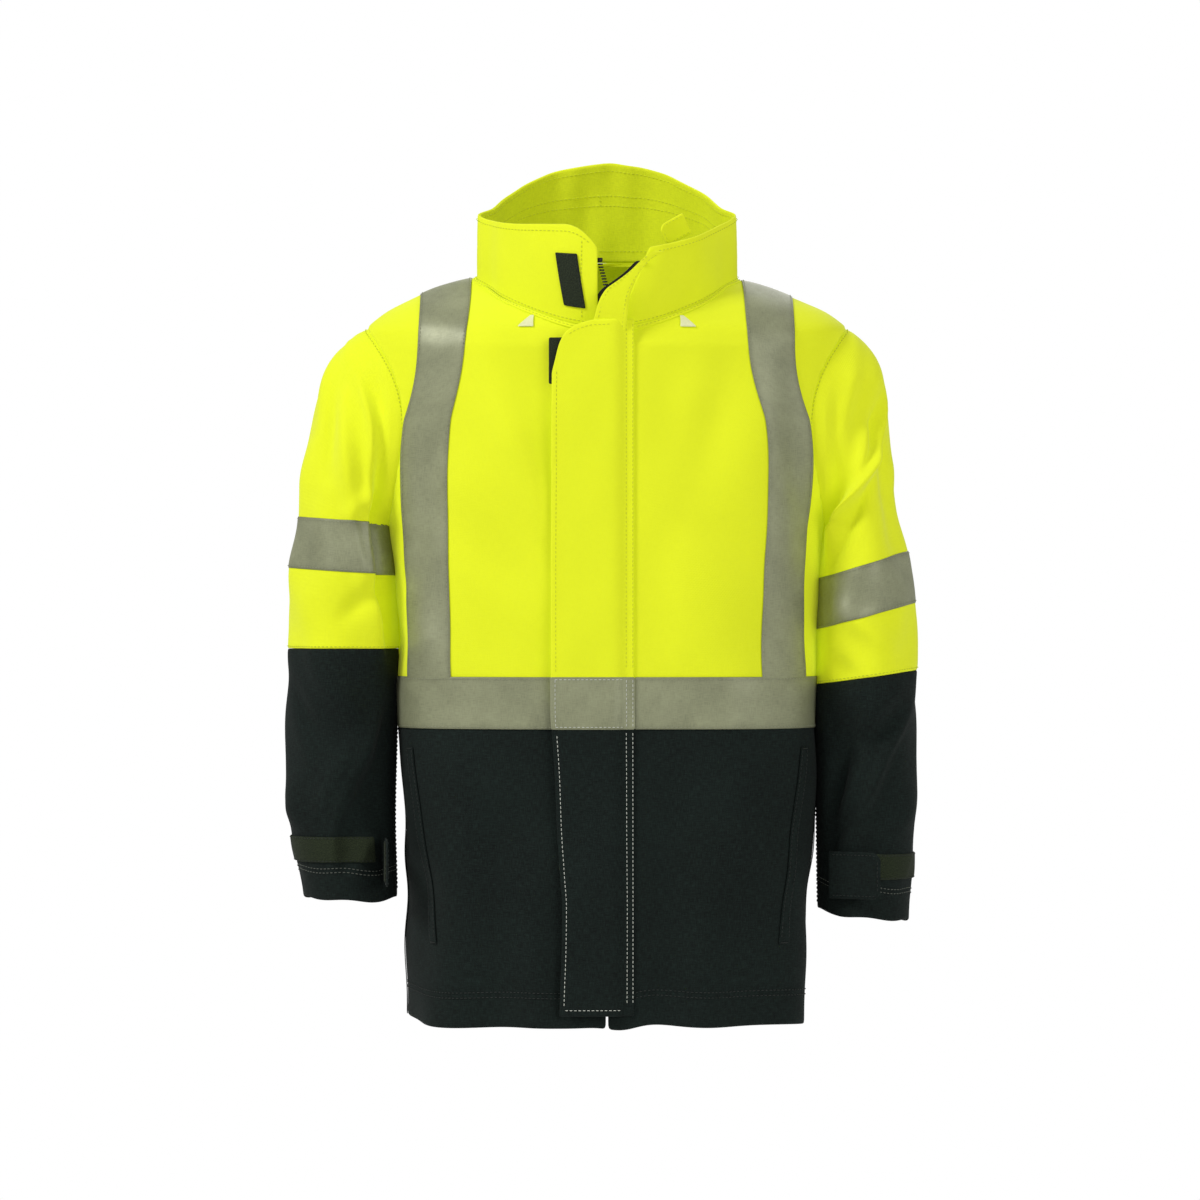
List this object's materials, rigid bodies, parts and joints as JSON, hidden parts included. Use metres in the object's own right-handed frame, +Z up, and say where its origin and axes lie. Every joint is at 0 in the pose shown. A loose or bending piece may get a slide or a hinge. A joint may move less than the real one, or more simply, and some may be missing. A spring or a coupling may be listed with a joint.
{
  "type": "high-visibility work coat",
  "caption": "Thigh-length high-visibility work coat with stand collar, zip under a storm flap, reflective tape, slanted pockets and cuff tabs.",
  "frame": {"origin": "midway between the two side-neck points, where the coat rests on the wearer's shoulders beside the neck", "axes": "+Z up along the body, -Y out of the coat's front, +X to the wearer's left"},
  "size_m": [0.6213, 0.2579, 0.827],
  "materials": {
    "yellow_cloth": "matte",
    "black_cloth": "matte",
    "reflective_tape": "satin",
    "hook_and_loop": "matte",
    "pale_binding": "matte",
    "zip_tape": "matte",
    "zip_plastic": "gloss"
  },
  "bodies": {
    "root": {"front_upper_right": "yellow_cloth", "front_lower_right": "black_cloth", "front_upper_left": "yellow_cloth", "front_lower_left": "black_cloth", "back_upper": "yellow_cloth", "back_lower": "black_cloth", "hem_facing_front_right": "black_cloth", "hem_facing_front_left": "black_cloth", "hem_facing_back": "black_cloth", "waist_tape_front_right": "reflective_tape", "waist_tape_front_left": "reflective_tape", "waist_tape_back": "reflective_tape", "brace_tape_right": "reflective_tape", "brace_tape_left": "reflective_tape", "sleeve_upper_right": "yellow_cloth", "sleeve_lower_right": "black_cloth", "sleeve_tape_right": "reflective_tape", "cuff_facing_right": "black_cloth", "cuff_loop_strip_right": "hook_and_loop", "sleeve_upper_left": "yellow_cloth", "sleeve_lower_left": "black_cloth", "sleeve_tape_left": "reflective_tape", "cuff_facing_left": "black_cloth", "cuff_loop_strip_left": "hook_and_loop", "collar_outer": "yellow_cloth", "collar_facing": "yellow_cloth", "collar_hook_patch": "hook_and_loop", "hood_tab_right": "pale_binding", "hood_tab_left": "pale_binding", "zip_tape_right": "zip_tape", "zip_tape_left": "zip_tape", "zip_teeth_right": "zip_plastic", "zip_top_stop_right": "zip_plastic", "zip_teeth_left": "zip_plastic", "zip_top_stop_left": "zip_plastic", "zip_bottom_box": "zip_plastic", "storm_flap_seam_upper": "yellow_cloth", "storm_flap_seam_lower": "black_cloth", "placket_hook_top": "hook_and_loop", "placket_hook_chest": "hook_and_loop", "placket_hook_waist": "hook_and_loop", "collar_guard": "yellow_cloth", "pocket_welt_right": "black_cloth", "pocket_bag_right": "black_cloth", "pocket_welt_left": "black_cloth", "pocket_bag_left": "black_cloth"},
    "storm_flap": {"storm_flap_upper": "yellow_cloth", "storm_flap_lower": "black_cloth", "storm_flap_tape": "reflective_tape", "flap_loop_top": "hook_and_loop", "flap_loop_chest": "hook_and_loop", "flap_loop_waist": "hook_and_loop"},
    "zip_slider": {"zip_slider": "zip_plastic"},
    "zip_puller": {"zip_puller": "zip_plastic"},
    "chin_tab": {"chin_tab": "yellow_cloth"},
    "cuff_tab_right": {"cuff_tab_right": "black_cloth", "cuff_tab_hook_right": "hook_and_loop"},
    "cuff_tab_left": {"cuff_tab_left": "black_cloth", "cuff_tab_hook_left": "hook_and_loop"}
  },
  "joints": [
    {"name": "storm_flap_hinge", "type": "hinge", "parent": "root", "child": "storm_flap", "pos_m": [0.017, -0.12643, -0.39982], "axis": [0, 0.0151, 0.9999], "range_deg": [0, 160]},
    {"name": "zip_slide", "type": "slide", "parent": "root", "child": "zip_slider", "axis": [0, 0.0151, 0.9999], "range_m": [-0.58, 0]},
    {"name": "puller_swing", "type": "hinge", "parent": "zip_slider", "child": "zip_puller", "pos_m": [0, -0.11374, -0.08998], "axis": [0, 0.9999, -0.0151], "range_deg": [-20, 20]},
    {"name": "chin_tab_hinge", "type": "hinge", "parent": "root", "child": "chin_tab", "pos_m": [0.078, -0.058, 0.042], "axis": [0, 0, 1], "range_deg": [-70, 20]},
    {"name": "cuff_tab_hinge_right", "type": "hinge", "parent": "root", "child": "cuff_tab_right", "pos_m": [-0.216, -0.038, -0.579], "axis": [0, 0, 1], "range_deg": [-35, 25]},
    {"name": "cuff_tab_hinge_left", "type": "hinge", "parent": "root", "child": "cuff_tab_left", "pos_m": [0.214, -0.046, -0.592], "axis": [0, 0, 1], "range_deg": [-70, 6]}
  ]
}
